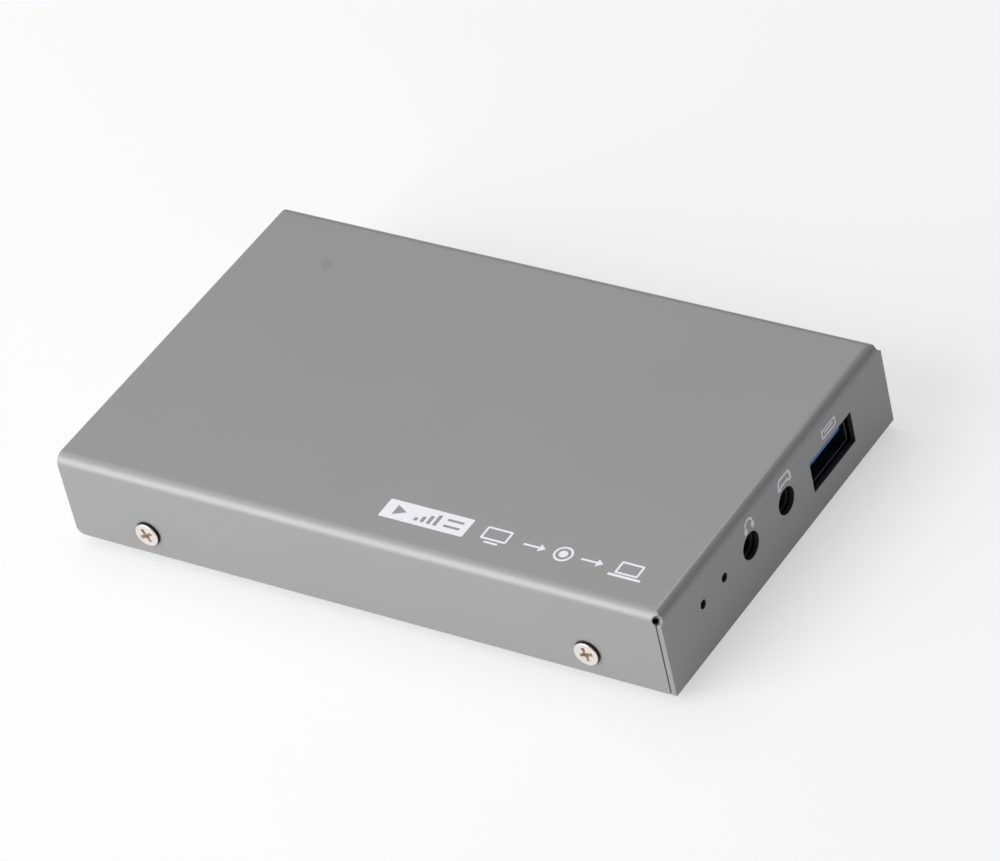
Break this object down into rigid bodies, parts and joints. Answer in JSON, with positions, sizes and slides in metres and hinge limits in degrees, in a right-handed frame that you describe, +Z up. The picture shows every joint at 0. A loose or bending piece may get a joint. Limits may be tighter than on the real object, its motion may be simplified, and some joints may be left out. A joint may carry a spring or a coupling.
{
  "type": "video capture box",
  "caption": "Flat grey folded-sheet video capture box with USB, headphone and chat jacks and lamp pin-holes at one end, HDMI sockets at the other, and side screws.",
  "frame": {"origin": "on the floor under the middle of the case", "axes": "+X along the case toward the USB and audio end, +Y from the front to the back, +Z up"},
  "size_m": [0.12, 0.0736, 0.0185],
  "materials": {
    "case_paint": "fine satin powder coat, mid grey",
    "screw_nickel": "bright nickel plate",
    "foot_rubber": "matt black rubber",
    "post_brass": "turned brass",
    "bright_steel": "tin plate",
    "board_laminate": "green solder mask on glass laminate",
    "usb_blue": "blue moulded plastic",
    "contact_gold": "gold flash on copper alloy",
    "black_plastic": "black moulded plastic",
    "lamp_lens": "smoked cast resin",
    "chip_epoxy": "black epoxy",
    "pad_silicone": "soft grey silicone",
    "sink_aluminium": "plain extruded aluminium",
    "ferrite": "moulded ferrite powder",
    "ceramic_body": "fired ceramic"
  },
  "bodies": {
    "root": {"top_cover": "case_paint", "base_tray": "case_paint", "cover_screws": "screw_nickel", "rubber_feet": "foot_rubber", "board_posts": "post_brass", "board_screws": "bright_steel", "main_board": "board_laminate", "usb_shell": "bright_steel", "usb_insulator": "usb_blue", "usb_contacts": "contact_gold", "hdmi_in_shell": "bright_steel", "hdmi_in_insulator": "black_plastic", "hdmi_in_contacts": "contact_gold", "hdmi_out_shell": "bright_steel", "hdmi_out_insulator": "black_plastic", "hdmi_out_contacts": "contact_gold", "headphone_jack": "black_plastic", "headphone_contacts": "contact_gold", "chat_jack": "black_plastic", "chat_contacts": "contact_gold", "led_housings": "black_plastic", "power_led": "lamp_lens", "status_led": "lamp_lens", "led_leads": "bright_steel", "video_processor": "chip_epoxy", "thermal_pad": "pad_silicone", "heat_sink": "sink_aluminium", "hdmi_receiver": "chip_epoxy", "hdmi_transmitter": "chip_epoxy", "usb_controller": "chip_epoxy", "memory_chips": "chip_epoxy", "flash_chip": "chip_epoxy", "audio_codec": "chip_epoxy", "crystals": "bright_steel", "power_inductors": "ferrite", "capacitor_cans": "sink_aluminium", "capacitor_bases": "black_plastic", "regulators": "chip_epoxy", "ceramic_capacitors": "ceramic_body", "chip_resistors": "chip_epoxy"}
  },
  "joints": []
}
